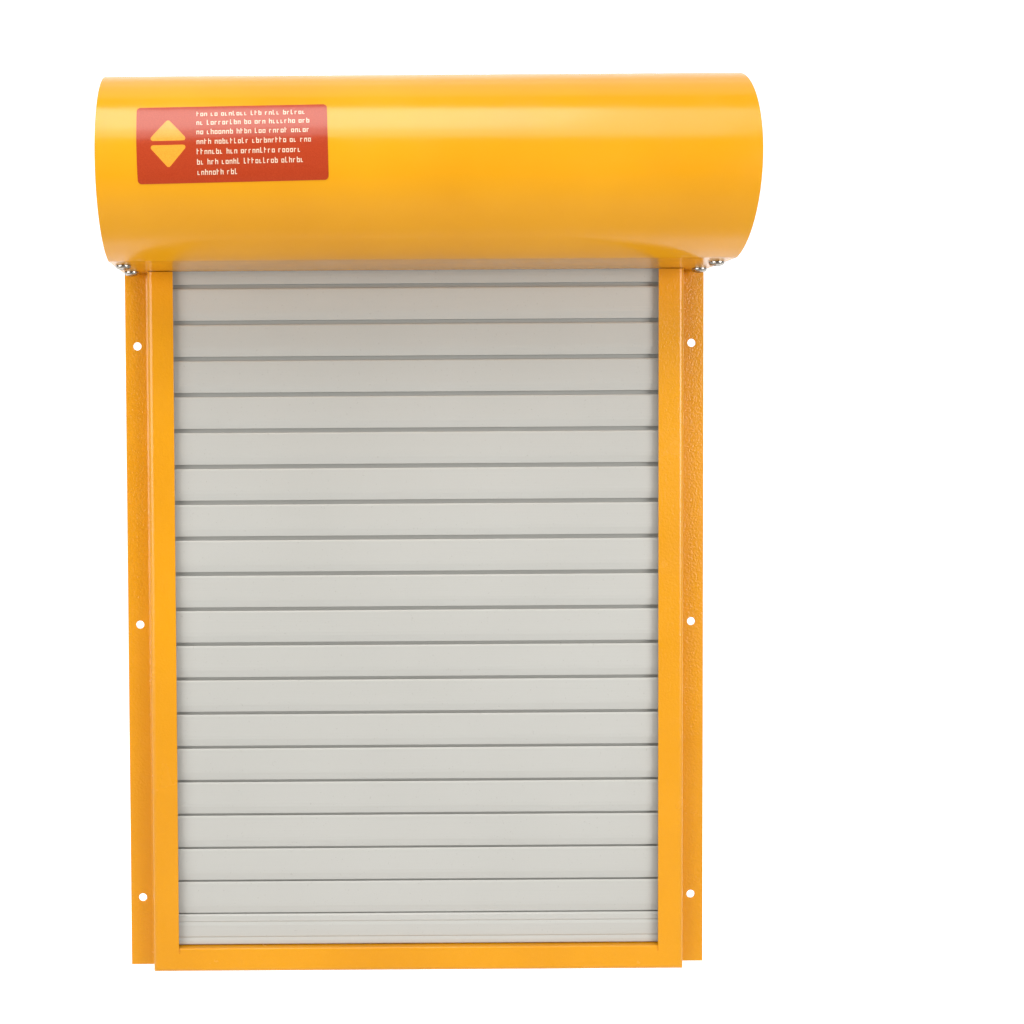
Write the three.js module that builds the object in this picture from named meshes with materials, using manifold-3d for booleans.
// Automatic coop door: a small motor-driven roller shutter in a folded sheet-metal frame.
// Millimetres. X is across the door, -Y is the front, +Z is up. Heights below are measured from the
// bottom edge of the frame, and depths from the wall that the door is screwed to (y = 0). The
// whole door is then lowered so that the origin is the middle of the header plate's wall face.

import * as THREE from 'three';
import * as BufferGeometryUtils from 'three/addons/utils/BufferGeometryUtils.js';
import Module from 'manifold-3d';

const wasm = await Module();
wasm.setup();

// ---------------------------------------------------------------- driving dimensions

const SHEET = 1.2; // thickness of the folded steel sheet
const GAP = 0.3; // clearance between neighbouring pieces

// face frame
const OPENING_HALF = 150;
const STILE_OUTER = 166;
const FLANGE_OUTER = 181.5;
const FRAME_DEPTH = 14;
const SILL_TOP = 15.2;
const SILL_RELIEF = { width: 0.6, depth: 3.2 }; // slot between the sill ledge and a stile
const FLANGE_HOLE_X = 174;
const FLANGE_HOLE_HEIGHTS = [43, 217, 392.5];
const FLANGE_HOLE_RADIUS = 2.5;

// hood
const HOOD_RADIUS = 54;
const HOOD_AXIS_Y = -HOOD_RADIUS; // the hood's round touches the wall plane
const HOOD_AXIS_Z = 491;
const HOOD_HALF = FLANGE_OUTER;
const UNDERSIDE = 438;
const UNDERSIDE_REAR = -11; // rear edge of the underside over the curtain slot
const HEADER_TOP = 489; // of the header plate and the screw flanges
const HEADER_FOLD = 9; // depth of the fold along the header plate's top
const END_RECESS = 3; // how far the end plates sit inside the hood's rims
const HOOD_STEPS = 44;
const HOOD_SCREW_X = 175.5;
const HOOD_SCREW_DEPTHS = { front: -46, rear: -12 };
const HOOD_HOLE_RADIUS = 2;

// curtain
const SLAT_FRONT = -9.6; // front plane of the slats
const SLAT_THICKNESS = 5.6;
const SLAT_BODY = 19.7; // height of a slat's visible face
const SLAT_HALF = 161.5;
const SLAT_COUNT = 19;
const BAR_BOTTOM = 15.9;
const BAR_TOP = 34.9;
const BAR_GAP = 0.9; // between the bottom bar and the lowest slat
const CAP_THICKNESS = 1.2; // plastic cap on each end of the bottom bar
const CLOSED_PITCH = 20.62; // pitch where the slats rest on each other
const OPEN_PITCH = 22.4; // pitch where the hooks hang at full stretch
const PITCH_GAIN = 0.0068; // how the pitch grows with height as the slack is pulled out

// guides
const GUIDE_INNER = 150.6;
const GUIDE_OUTER = 164.3;
const GUIDE_WALL = 1.4;
const LEAD_IN = {
  inner: 152,
  outer: 163.2,
  front: -12.6,
  rear: -1.5,
  wall: 1,
  height: 12, // of the mouth above the hood's underside
  rise: 5, // of the flare above the mouth
  lean: 2.8, // of the flare towards the front
};

// drum and motor
const DRUM_FLAT = 20; // axis to flat of the octagonal tube
const DRUM_WALL = 1;
const DRUM_LEFT = -156;
const DRUM_RIGHT = 158;
const MOTOR_RADIUS = 16.5;
const MOTOR_INNER_END = 40;
const SHAFT_RADIUS = 4;
const PIN_RADIUS = 5;
const STRAP_X = 95;
const STRAP_WIDTH = 24;
const STRAP_THICKNESS = 0.6;

// sticker on the hood
const LABEL_LEFT = -159;
const LABEL_RIGHT = -54.5;
const LABEL_FROM = -17; // degrees above the front of the hood
const LABEL_TO = 31;
const LABEL_THICKNESS = 0.25;

const HEADER_CENTRE = 464; // height of the origin

// ---------------------------------------------------------------- materials

const finish = (color, roughness, metalness) =>
  new THREE.MeshStandardMaterial({ color, roughness, metalness });

const FINISHES = {
  paint: () => finish(0xf2a71b, 0.38, 0.0),
  slat: () => finish(0xccc9bd, 0.45, 0.1),
  steel: () => finish(0xb9b9b6, 0.35, 1.0),
  zinc: () => finish(0x9fa3a6, 0.45, 1.0),
  motor: () => finish(0x2c2e31, 0.5, 0.4),
  plastic: () => finish(0x1d1d1f, 0.55, 0.0),
  rubber: () => finish(0x151515, 0.85, 0.0),
  bronze: () => finish(0xa9793c, 0.4, 1.0),
  label: () => finish(0xb5321f, 0.3, 0.0),
};

// ---------------------------------------------------------------- geometry helpers

/** A closed manifold from a three.js geometry. */
function toSolid(geometry) {
  const bare = new THREE.BufferGeometry();
  bare.setAttribute('position', geometry.getAttribute('position').clone());
  if (geometry.index) bare.setIndex(geometry.index.clone());
  const merged = BufferGeometryUtils.mergeVertices(bare, 1e-4);
  return new wasm.Manifold(
    new wasm.Mesh({
      numProp: 3,
      vertProperties: Float32Array.from(merged.getAttribute('position').array),
      triVerts: Uint32Array.from(merged.index.array),
    }),
  );
}

/** A three.js geometry from a manifold. */
function toGeometry(solid) {
  const mesh = solid.getMesh();
  const geometry = new THREE.BufferGeometry();
  geometry.setAttribute('position', new THREE.BufferAttribute(mesh.vertProperties, 3));
  geometry.setIndex(new THREE.BufferAttribute(mesh.triVerts, 1));
  geometry.computeVertexNormals();
  return geometry;
}

/** The first geometry with the others added to it. */
function join(first, ...others) {
  return toGeometry(others.reduce((sum, next) => sum.add(toSolid(next)), toSolid(first)));
}

/** The first geometry with the others cut out of it. */
function cut(first, ...tools) {
  return toGeometry(tools.reduce((rest, tool) => rest.subtract(toSolid(tool)), toSolid(first)));
}

function outline(points) {
  return points.map(([u, v]) => new THREE.Vector2(u, v));
}

/** A prism of a section, from start to end along the axis that the basis vectors leave. */
function prism(points, start, end, holes, basis) {
  const shape = new THREE.Shape(outline(points));
  for (const hole of holes) shape.holes.push(new THREE.Path(outline(hole)));
  const geometry = new THREE.ExtrudeGeometry(shape, { depth: end - start, bevelEnabled: false });
  geometry.translate(0, 0, start);
  geometry.applyMatrix4(new THREE.Matrix4().makeBasis(...basis));
  return geometry;
}

const X = new THREE.Vector3(1, 0, 0);
const Y = new THREE.Vector3(0, 1, 0);
const Z = new THREE.Vector3(0, 0, 1);

/** A section in (y, z) pushed along X. */
const alongX = (points, x0, x1, holes = []) => prism(points, x0, x1, holes, [Y, Z, X]);

/** A section in (x, z) pushed along Y. */
function alongY(points, y0, y1, holes = []) {
  return prism(points, -y1, -y0, holes, [X, Z, Y.clone().negate()]);
}

/** A section in (x, y) pushed along Z. */
const alongZ = (points, z0, z1, holes = []) => prism(points, z0, z1, holes, [X, Y, Z]);

/** A block between two corners. */
function block([x0, y0, z0], [x1, y1, z1]) {
  const geometry = new THREE.BoxGeometry(x1 - x0, y1 - y0, z1 - z0);
  geometry.translate((x0 + x1) / 2, (y0 + y1) / 2, (z0 + z1) / 2);
  return geometry;
}

/** Points on an arc, in degrees from the first axis of its plane. */
function arc(centre, radius, from, to, steps) {
  return Array.from({ length: steps + 1 }, (_, i) => {
    const angle = THREE.MathUtils.degToRad(from + ((to - from) * i) / steps);
    return [centre[0] + radius * Math.cos(angle), centre[1] + radius * Math.sin(angle)];
  });
}

/** A full circle of points. */
const circle = (centre, radius, steps = 24) => arc(centre, radius, 0, 360, steps).slice(0, steps);

/** A regular octagon given by the distance from its axis to a flat. */
function octagon(centre, flat) {
  return arc(centre, flat / Math.cos(Math.PI / 8), 22.5, 382.5, 8).slice(0, 8);
}

const HOOD_AXIS = [HOOD_AXIS_Y, HOOD_AXIS_Z];

/** A turned piece about the drum axis, from [distance along X, radius] points closed on the axis. */
function turned(profile, steps = 28) {
  const geometry = new THREE.LatheGeometry(
    profile.map(([x, radius]) => new THREE.Vector2(radius, x)),
    steps,
  );
  geometry.applyMatrix4(new THREE.Matrix4().makeBasis(Z, X, Y)); // lathe axis onto X
  geometry.translate(0, HOOD_AXIS_Y, HOOD_AXIS_Z);
  return toGeometry(toSolid(geometry));
}

const mirrored = (side, a, b) => (side < 0 ? [-b, -a] : [a, b]);

// ---------------------------------------------------------------- the door as a scene graph

const door = new THREE.Group();
const SIDES = { left: -1, right: 1 };

function addPiece(name, geometry, material, parent = door) {
  const mesh = new THREE.Mesh(geometry, FINISHES[material]());
  mesh.name = name;
  parent.add(mesh);
  return mesh;
}

// ---------------------------------------------------------------- face frame

/** Face, side webs, screw flanges, sill ledge and bottom return: one folded sheet. */
function faceFrame() {
  const top = UNDERSIDE - GAP;
  const front = -FRAME_DEPTH;
  const ledge = OPENING_HALF - SILL_RELIEF.width;
  const pieces = [
    block([-STILE_OUTER, front, 0], [STILE_OUTER, front + SHEET, SILL_TOP]),
    block([-STILE_OUTER, front, 0], [STILE_OUTER, 0, SHEET]),
    block([-ledge, front, SILL_TOP - SHEET], [ledge, 0, SILL_TOP]),
  ];
  for (const side of Object.values(SIDES)) {
    const [face0, face1] = mirrored(side, OPENING_HALF, STILE_OUTER);
    const [web0, web1] = mirrored(side, STILE_OUTER - SHEET, STILE_OUTER);
    const [flange0, flange1] = mirrored(side, STILE_OUTER - SHEET, FLANGE_OUTER);
    pieces.push(
      block([face0, front, 0], [face1, front + SHEET, top]),
      block([web0, front, 0], [web1, 0, top]),
      block([flange0, -SHEET, 0], [flange1, 0, HEADER_TOP]),
    );
  }
  const cuts = Object.values(SIDES).flatMap((side) => {
    const [slot0, slot1] = mirrored(side, ledge, OPENING_HALF);
    const slot = block([slot0, front - 1, SILL_TOP - SILL_RELIEF.depth], [slot1, 1, SILL_TOP + 1]);
    const holes = FLANGE_HOLE_HEIGHTS.map((height) =>
      alongY(circle([side * FLANGE_HOLE_X, height], FLANGE_HOLE_RADIUS), -SHEET - 1, 1),
    );
    return [slot, ...holes];
  });
  return cut(join(...pieces), ...cuts);
}

/** U-shaped channel behind a stile, open towards the opening. */
function guideSection(side, front, rear, inner, outer, wall) {
  const points = [
    [inner, front],
    [outer, front],
    [outer, rear],
    [inner, rear],
    [inner, rear - wall],
    [outer - wall, rear - wall],
    [outer - wall, front + wall],
    [inner, front + wall],
  ];
  return points.map(([x, y]) => [side * x, y]);
}

function guide(side) {
  const section = guideSection(
    side,
    -FRAME_DEPTH + SHEET + GAP,
    -SHEET - GAP,
    GUIDE_INNER,
    GUIDE_OUTER,
    GUIDE_WALL,
  );
  return alongZ(section, SILL_TOP + GAP, UNDERSIDE - GAP);
}

/** Plastic mouth that leads the slats from the hood into a guide. */
function leadIn(side) {
  const { front, rear, inner, outer, wall, height, lean, rise } = LEAD_IN;
  const top = UNDERSIDE + height;
  const section = guideSection(side, front, rear, inner, outer, wall);
  const mouth = alongZ(section, UNDERSIDE + SHEET + GAP, top);
  const flare = alongX(
    [
      [front, top - 0.5],
      [front + wall, top - 0.5],
      [front + wall - lean, top + rise],
      [front - lean, top + rise],
    ],
    ...mirrored(side, inner, outer),
  );
  return join(mouth, flare);
}

/** Header plate on the wall side of the hood, with a stiffening fold along its top. */
function headerPlate() {
  const half = STILE_OUTER - SHEET - GAP;
  return join(
    block([-half, -SHEET, UNDERSIDE + GAP], [half, 0, HEADER_TOP]),
    block([-half, -HEADER_FOLD, HEADER_TOP - SHEET], [half, 0, HEADER_TOP]),
  );
}

addPiece('face_frame', faceFrame(), 'paint');
addPiece('header_plate', headerPlate(), 'paint');
for (const [word, side] of Object.entries(SIDES)) {
  addPiece(`guide_${word}`, guide(side), 'plastic');
  addPiece(`lead_in_${word}`, leadIn(side), 'plastic');
}

// ---------------------------------------------------------------- hood

/** The hood's section inset by a distance, as an arc from the wall over the top to the corner. */
function hoodArc(inset, steps) {
  const radius = HOOD_RADIUS - inset;
  const drop = HOOD_AXIS_Z - UNDERSIDE - inset; // from the axis to the flat underside
  const corner = 180 + THREE.MathUtils.radToDeg(Math.asin(drop / radius));
  return arc(HOOD_AXIS, radius, 0, corner, steps);
}

/** Rolled cover: round from the wall over the top to the front, then flat underneath. */
function hoodShell() {
  const rear = -SHEET - GAP;
  const section = [
    ...hoodArc(0, HOOD_STEPS),
    [rear, UNDERSIDE],
    [rear, UNDERSIDE + SHEET],
    ...hoodArc(SHEET, HOOD_STEPS).reverse(),
  ];
  const slotHalf = SLAT_HALF + 2;
  const slot = block(
    [-slotHalf, UNDERSIDE_REAR, UNDERSIDE - 1],
    [slotHalf, 1, UNDERSIDE + SHEET + 1],
  );
  const holes = Object.values(SIDES)
    .flatMap(hoodScrewHoles)
    .map((hole) => alongZ(hole, UNDERSIDE - 1, UNDERSIDE + 3));
  return cut(alongX(section, -HOOD_HALF, HOOD_HALF), slot, ...holes);
}

const PLATE_OUTER = HOOD_HALF - END_RECESS;
const PLATE_INNER = PLATE_OUTER - SHEET;
const BRACKET_SCREW_Z = [HOOD_AXIS_Z - 20, HOOD_AXIS_Z + 20];
const BRACKET_SCREW_Y = HOOD_AXIS_Y + 18;
const BRACKET_HOLE_RADIUS = 2.4;
const GROMMET = [-20, 454]; // depth and height of the motor lead's hole

/** Round holes, in (y, z), for the two screws that hold a bracket to its end plate. */
function bracketScrewHoles() {
  return BRACKET_SCREW_Z.map((height) => circle([BRACKET_SCREW_Y, height], BRACKET_HOLE_RADIUS, 16));
}

/** Round holes, in (x, y), for the two screws under an end of the hood. */
function hoodScrewHoles(side) {
  const depths = Object.values(HOOD_SCREW_DEPTHS);
  return depths.map((depth) => circle([side * HOOD_SCREW_X, depth], HOOD_HOLE_RADIUS, 16));
}

/** End plate with a folded tab that the hood's screws go into. */
function endPlate(side) {
  const inset = SHEET + GAP;
  const section = [...hoodArc(inset, HOOD_STEPS), [-inset, UNDERSIDE + inset]];
  const plate = alongX(section, ...mirrored(side, PLATE_INNER, PLATE_OUTER));
  const [tab0, tab1] = mirrored(side, STILE_OUTER + 3, PLATE_OUTER);
  const tab = block([tab0, -60, UNDERSIDE + inset], [tab1, -4, UNDERSIDE + inset + SHEET]);
  const through = mirrored(side, PLATE_INNER - 1, PLATE_OUTER + 1);
  const holes = [
    ...hoodScrewHoles(side).map((hole) => alongZ(hole, UNDERSIDE, UNDERSIDE + 5)),
    ...bracketScrewHoles().map((hole) => alongX(hole, ...through)),
  ];
  if (side < 0) holes.push(alongX(circle(GROMMET, 6.4), ...through));
  return cut(join(plate, tab), ...holes);
}

/** Pan-head screw along +Z from its head's underside, with a cross recess. */
function panScrew(headRadius, headHeight, shankRadius, length) {
  const squash = headHeight / headRadius;
  const dome = arc([0, 0], headRadius, 80, 0, 5).map(([r, h]) => [r, -h * squash]);
  const shank = [
    [shankRadius, 0],
    [shankRadius, length],
    [0, length],
  ];
  const profile = [[0, -headHeight], ...dome, ...shank];
  const lathe = new THREE.LatheGeometry(
    profile.map(([r, z]) => new THREE.Vector2(r, z)),
    20,
  );
  lathe.applyMatrix4(new THREE.Matrix4().makeBasis(X, Z, Y.clone().negate()));
  const arm = headRadius * 0.55;
  const recess = [
    block([-arm, -0.5, -headHeight - 1], [arm, 0.5, -headHeight * 0.45]),
    block([-0.5, -arm, -headHeight - 1], [0.5, arm, -headHeight * 0.45]),
  ];
  return cut(lathe, ...recess);
}

addPiece('hood_shell', hoodShell(), 'paint');
for (const [word, side] of Object.entries(SIDES)) {
  addPiece(`hood_end_plate_${word}`, endPlate(side), 'paint');
  for (const [place, depth] of Object.entries(HOOD_SCREW_DEPTHS)) {
    const screw = addPiece(`hood_screw_${word}_${place}`, panScrew(4.5, 2.4, 1.6, 8), 'steel');
    screw.position.set(side * HOOD_SCREW_X, depth, UNDERSIDE - GAP);
  }
  ['lower', 'upper'].forEach((place, i) => {
    const screw = addPiece(`bracket_screw_${word}_${place}`, panScrew(4, 2, 2, 6), 'steel');
    screw.position.set(side * (PLATE_OUTER + GAP), BRACKET_SCREW_Y, BRACKET_SCREW_Z[i]);
    screw.rotation.y = (-side * Math.PI) / 2; // the shank points into the hood
  });
}

/** Rubber grommet in the left end plate, where the motor lead leaves. */
function grommet() {
  const rim = -PLATE_OUTER;
  const profile = [
    [rim - 2, 3.5],
    [rim - 2, 8],
    [rim - GAP, 8],
    [rim - GAP, 6.1],
    [-PLATE_INNER + GAP, 6.1],
    [-PLATE_INNER + GAP, 8],
    [-PLATE_INNER + 2, 8],
    [-PLATE_INNER + 2, 3.5],
    [rim - 2, 3.5],
  ];
  const geometry = turned(profile, 20);
  geometry.translate(0, GROMMET[0] - HOOD_AXIS_Y, GROMMET[1] - HOOD_AXIS_Z);
  return geometry;
}

addPiece('lead_grommet', grommet(), 'rubber');

/** Sticker bent round the front of the hood. */
function label() {
  const inner = HOOD_RADIUS + 0.08;
  const from = 180 - LABEL_TO;
  const to = 180 - LABEL_FROM;
  const section = [
    ...arc(HOOD_AXIS, inner, from, to, 16),
    ...arc(HOOD_AXIS, inner + LABEL_THICKNESS, to, from, 16),
  ];
  return alongX(section, LABEL_LEFT, LABEL_RIGHT);
}

addPiece('sticker', label(), 'label');

// ---------------------------------------------------------------- motor, brackets and drum

const BRACKET_OUTER = PLATE_INNER - GAP;
const BRACKET_THICKNESS = 2.4;
const BRACKET_INNER = BRACKET_OUTER - BRACKET_THICKNESS;

/** Bracket plate screwed inside an end plate, with a round hole on the drum axis. */
function bracket(side, boreRadius) {
  const section = [
    [HOOD_AXIS_Y - 24, HOOD_AXIS_Z - 18],
    [HOOD_AXIS_Y - 14, HOOD_AXIS_Z - 28],
    [HOOD_AXIS_Y + 26, HOOD_AXIS_Z - 28],
    [HOOD_AXIS_Y + 26, HOOD_AXIS_Z + 28],
    [HOOD_AXIS_Y - 14, HOOD_AXIS_Z + 28],
    [HOOD_AXIS_Y - 24, HOOD_AXIS_Z + 18],
  ];
  const through = mirrored(side, BRACKET_INNER - 1, BRACKET_OUTER + 1);
  const bores = [
    circle(HOOD_AXIS, boreRadius, 28),
    ...bracketScrewHoles(),
  ].map((bore) => alongX(bore, ...through));
  return cut(alongX(section, ...mirrored(side, BRACKET_INNER, BRACKET_OUTER)), ...bores);
}

/** Motor head: the fixed end that carries the motor in its bracket. */
function motorHead() {
  const inner = -BRACKET_INNER + GAP;
  const head = turned([
    [inner, 0],
    [inner, 19],
    [inner + 12, 19],
    [inner + 12, 17.5],
    [inner + 14.5, 17.5],
    [inner + 14.5, 0],
  ]);
  const spigot = turned([
    [-BRACKET_OUTER + 0.2, 0],
    [-BRACKET_OUTER + 0.2, 8],
    [inner + 1, 8],
    [inner + 1, 0],
  ]);
  return join(head, spigot);
}

const MOTOR_LEFT = -BRACKET_INNER + GAP + 14.5 + GAP;

const motorBody = () =>
  turned([
    [MOTOR_LEFT, 0],
    [MOTOR_LEFT, MOTOR_RADIUS],
    [MOTOR_INNER_END - 6, MOTOR_RADIUS],
    [MOTOR_INNER_END, MOTOR_RADIUS - 4],
    [MOTOR_INNER_END, 0],
  ]);

/** A ring or plug on the drum axis: [x, outer radius] steps with one bore. */
function ring(profile, bore) {
  const [first] = profile;
  const last = profile[profile.length - 1];
  return turned([[first[0], bore], ...profile, [last[0], bore], [first[0], bore]]);
}

const PLUG_RADIUS = DRUM_FLAT - DRUM_WALL - 0.4;
const RIM_RADIUS = DRUM_FLAT + 2;

const crownRing = () =>
  ring(
    [
      [DRUM_LEFT - 1.5 - GAP, RIM_RADIUS],
      [DRUM_LEFT - GAP, RIM_RADIUS],
      [DRUM_LEFT - GAP, PLUG_RADIUS],
      [DRUM_LEFT + 12, PLUG_RADIUS],
    ],
    MOTOR_RADIUS + 0.4,
  );

const driveWheel = () =>
  ring(
    [
      [MOTOR_INNER_END + 5, PLUG_RADIUS],
      [MOTOR_INNER_END + 17, PLUG_RADIUS],
    ],
    SHAFT_RADIUS + GAP,
  );

const idlerCap = () =>
  ring(
    [
      [DRUM_RIGHT - 18, PLUG_RADIUS],
      [DRUM_RIGHT + GAP, PLUG_RADIUS],
      [DRUM_RIGHT + GAP, RIM_RADIUS],
      [DRUM_RIGHT + 1.5 + GAP, RIM_RADIUS],
    ],
    PIN_RADIUS + GAP,
  );

/** A plain round rod on the drum axis. */
function rod(radius, x0, x1) {
  const profile = [
    [x0, 0],
    [x0, radius],
    [x1, radius],
    [x1, 0],
  ];
  return turned(profile, 20);
}

function drumTube() {
  const holes = [octagon(HOOD_AXIS, DRUM_FLAT - DRUM_WALL)];
  return alongX(octagon(HOOD_AXIS, DRUM_FLAT), DRUM_LEFT, DRUM_RIGHT, holes);
}

const BUSH_RADIUS = 8;

/** Plain bush in the idler bracket that the idler pin turns in. */
function idlerBush() {
  const outside = [
    [BRACKET_INNER - 3, BUSH_RADIUS],
    [BRACKET_OUTER, BUSH_RADIUS],
  ];
  return ring(outside, PIN_RADIUS + GAP);
}

addPiece('motor_bracket', bracket(-1, BUSH_RADIUS + GAP), 'zinc');
addPiece('idler_bracket', bracket(1, BUSH_RADIUS + GAP), 'zinc');
addPiece('motor_head', motorHead(), 'plastic');
addPiece('motor_body', motorBody(), 'motor');
addPiece('output_shaft', rod(SHAFT_RADIUS, MOTOR_INNER_END + GAP, MOTOR_INNER_END + 19), 'steel');
addPiece('drive_wheel', driveWheel(), 'plastic');
addPiece('crown_ring', crownRing(), 'plastic');
addPiece('idler_cap', idlerCap(), 'plastic');
addPiece('idler_pin', rod(PIN_RADIUS, DRUM_RIGHT - 16, BRACKET_OUTER - 0.4), 'steel');
addPiece('idler_bush', idlerBush(), 'bronze');
addPiece('drum_tube', drumTube(), 'zinc');

// ---------------------------------------------------------------- curtain

const NECK = { y: SLAT_THICKNESS / 2 + 0.2, half: 0.45, top: 4.3 };
const BULB = { half: 1.15, top: 6.3 };
const MOUTH_HALF = 0.85;
const POCKET = { half: 1.5, floor: 1.2, top: 5.8 };
const SEAL_SLOT = { half: 1.5, top: 2.4 };
const SEAL_INSET = 12; // how far the seal ends short of the slats' ends

/** Hook along a top edge: a thin neck with a bulb. Points run from the front to the rear. */
function hookPoints(base) {
  const { y } = NECK;
  return [
    [y - NECK.half, base],
    [y - NECK.half, base + NECK.top],
    [y - BULB.half, base + NECK.top + 0.4],
    [y - BULB.half, base + BULB.top - 0.6],
    [y - 0.6, base + BULB.top],
    [y + 0.6, base + BULB.top],
    [y + BULB.half, base + BULB.top - 0.6],
    [y + BULB.half, base + NECK.top + 0.4],
    [y + NECK.half, base + NECK.top],
    [y + NECK.half, base],
  ];
}

/** Pocket along a bottom edge that holds the next hook. Points run from the rear to the front. */
function pocketPoints() {
  const { y } = NECK;
  return [
    [y + MOUTH_HALF, 0],
    [y + MOUTH_HALF, POCKET.floor],
    [y + POCKET.half, POCKET.floor],
    [y + POCKET.half, POCKET.top],
    [y - POCKET.half, POCKET.top],
    [y - POCKET.half, POCKET.floor],
    [y - MOUTH_HALF, POCKET.floor],
    [y - MOUTH_HALF, 0],
  ];
}

/** Slat section: creased, slightly crowned face, hook above, pocket below, hollow inside. */
function slatGeometry() {
  const rear = SLAT_THICKNESS;
  const section = [
    [0.6, 0],
    [0.1, 4.2],
    [0, 5.2],
    [0, 12],
    [0.25, 17],
    [0.7, 19.3],
    [1.5, SLAT_BODY],
    ...hookPoints(SLAT_BODY),
    [rear - 0.5, SLAT_BODY],
    [rear, SLAT_BODY - 0.5],
    [rear, 0.4],
    [rear - 0.4, 0],
    ...pocketPoints(),
  ];
  const hollow = [
    [1.1, 7],
    [4.5, 7],
    [4.5, 18.6],
    [1.4, 18.6],
  ];
  const geometry = alongX(section, -SLAT_HALF, SLAT_HALF, [hollow]);
  geometry.translate(0, SLAT_FRONT, 0);
  return geometry;
}

/** Heights of the slats' lower edges, from the lowest slat up. */
function slatHeights() {
  const heights = [BAR_TOP + BAR_GAP];
  while (heights.length < SLAT_COUNT) {
    const below = heights[heights.length - 1];
    heights.push(below + Math.min(OPEN_PITCH, CLOSED_PITCH + PITCH_GAIN * below));
  }
  return heights;
}

/** Bottom bar: hook above, two shallow grooves in its face, and a slot for the seal below. */
function bottomBar() {
  const rear = SLAT_THICKNESS;
  const height = BAR_TOP - BAR_BOTTOM;
  const section = [
    [0.3, 0],
    [0, 0.5],
    [0, 2.6],
    [0.45, 4.3],
    [0, 5.4],
    [0, 12.3],
    [0.45, 14],
    [0, 15.1],
    [0.2, height - 0.5],
    [0.8, height],
    ...hookPoints(height),
    [rear - 0.5, height],
    [rear, height - 0.5],
    [rear, 0.4],
    [rear - 0.4, 0],
    [NECK.y + SEAL_SLOT.half, 0],
    [NECK.y + SEAL_SLOT.half, SEAL_SLOT.top],
    [NECK.y - SEAL_SLOT.half, SEAL_SLOT.top],
    [NECK.y - SEAL_SLOT.half, 0],
  ];
  const hollow = [
    [1.3, 4.6],
    [4.4, 4.6],
    [4.4, 17],
    [1.3, 17],
  ];
  const half = SLAT_HALF - CAP_THICKNESS - GAP;
  const geometry = alongX(section, -half, half, [hollow]);
  geometry.translate(0, SLAT_FRONT, BAR_BOTTOM);
  return geometry;
}

/** Rubber strip in the bottom bar's slot, its rounded edge just clear of the sill. */
function barSeal() {
  const y = SLAT_FRONT + NECK.y;
  const half = SEAL_SLOT.half - GAP;
  const section = [
    [y - half, BAR_BOTTOM],
    [y - half / 2, SILL_TOP + GAP],
    [y + half / 2, SILL_TOP + GAP],
    [y + half, BAR_BOTTOM],
    [y + half, BAR_BOTTOM + SEAL_SLOT.top - GAP],
    [y - half, BAR_BOTTOM + SEAL_SLOT.top - GAP],
  ];
  return alongX(section, -SLAT_HALF + SEAL_INSET, SLAT_HALF - SEAL_INSET);
}

/** Plastic cap on an end of the bottom bar that slides in the guide. */
function barCap(side) {
  const [inner, outer] = mirrored(side, SLAT_HALF - CAP_THICKNESS, SLAT_HALF);
  return block(
    [inner, SLAT_FRONT + 0.3, BAR_BOTTOM],
    [outer, SLAT_FRONT + SLAT_THICKNESS, BAR_TOP - 0.6],
  );
}

addPiece('bottom_bar', bottomBar(), 'slat');
addPiece('bottom_seal', barSeal(), 'rubber');
for (const [word, side] of Object.entries(SIDES)) addPiece(`bar_cap_${word}`, barCap(side), 'plastic');

const heights = slatHeights();
heights.forEach((height, i) => {
  const number = String(SLAT_COUNT - i).padStart(2, '0'); // slat_01 is the top slat
  const slat = addPiece(`slat_${number}`, slatGeometry(), 'slat');
  slat.position.z = height;
});

// ---------------------------------------------------------------- hangers

const CLIP_BOTTOM = heights[SLAT_COUNT - 1] + OPEN_PITCH;
const CLIP_HEIGHT = 7.4;

/** Clip that slides onto the top slat's hook. */
function hangerClip(side) {
  const section = [
    [NECK.y - 2.4, 0],
    [NECK.y - 2.4, CLIP_HEIGHT],
    [NECK.y + 2.4, CLIP_HEIGHT],
    [NECK.y + 2.4, 0],
    ...pocketPoints(),
  ];
  const middle = side * STRAP_X;
  const geometry = alongX(section, middle - STRAP_WIDTH / 2, middle + STRAP_WIDTH / 2);
  geometry.translate(0, SLAT_FRONT, CLIP_BOTTOM);
  return geometry;
}

/** Steel strap from just above the clip to the drum, then over the top of the drum. */
function hangerStrap(side) {
  const wrap = DRUM_FLAT / Math.cos(Math.PI / 8) + 0.4;
  const foot = [SLAT_FRONT + NECK.y, CLIP_BOTTOM + CLIP_HEIGHT + GAP];
  const across = foot[0] - HOOD_AXIS_Y;
  const down = foot[1] - HOOD_AXIS_Z;
  const toFoot = THREE.MathUtils.radToDeg(Math.atan2(down, across));
  const line = (radius) => {
    const swing = THREE.MathUtils.radToDeg(Math.acos(radius / Math.hypot(across, down)));
    return arc(HOOD_AXIS, radius, toFoot + swing, 170, 14);
  };
  const inner = line(wrap);
  const outer = line(wrap + STRAP_THICKNESS);
  const section = [foot, ...inner, ...outer.reverse(), [foot[0] + STRAP_THICKNESS, foot[1] + 0.3]];
  const middle = side * STRAP_X;
  return alongX(section, middle - STRAP_WIDTH / 2, middle + STRAP_WIDTH / 2);
}

for (const [word, side] of Object.entries(SIDES)) {
  addPiece(`hanger_clip_${word}`, hangerClip(side), 'zinc');
  addPiece(`hanger_strap_${word}`, hangerStrap(side), 'steel');
}

door.position.z = -HEADER_CENTRE;

export default door;
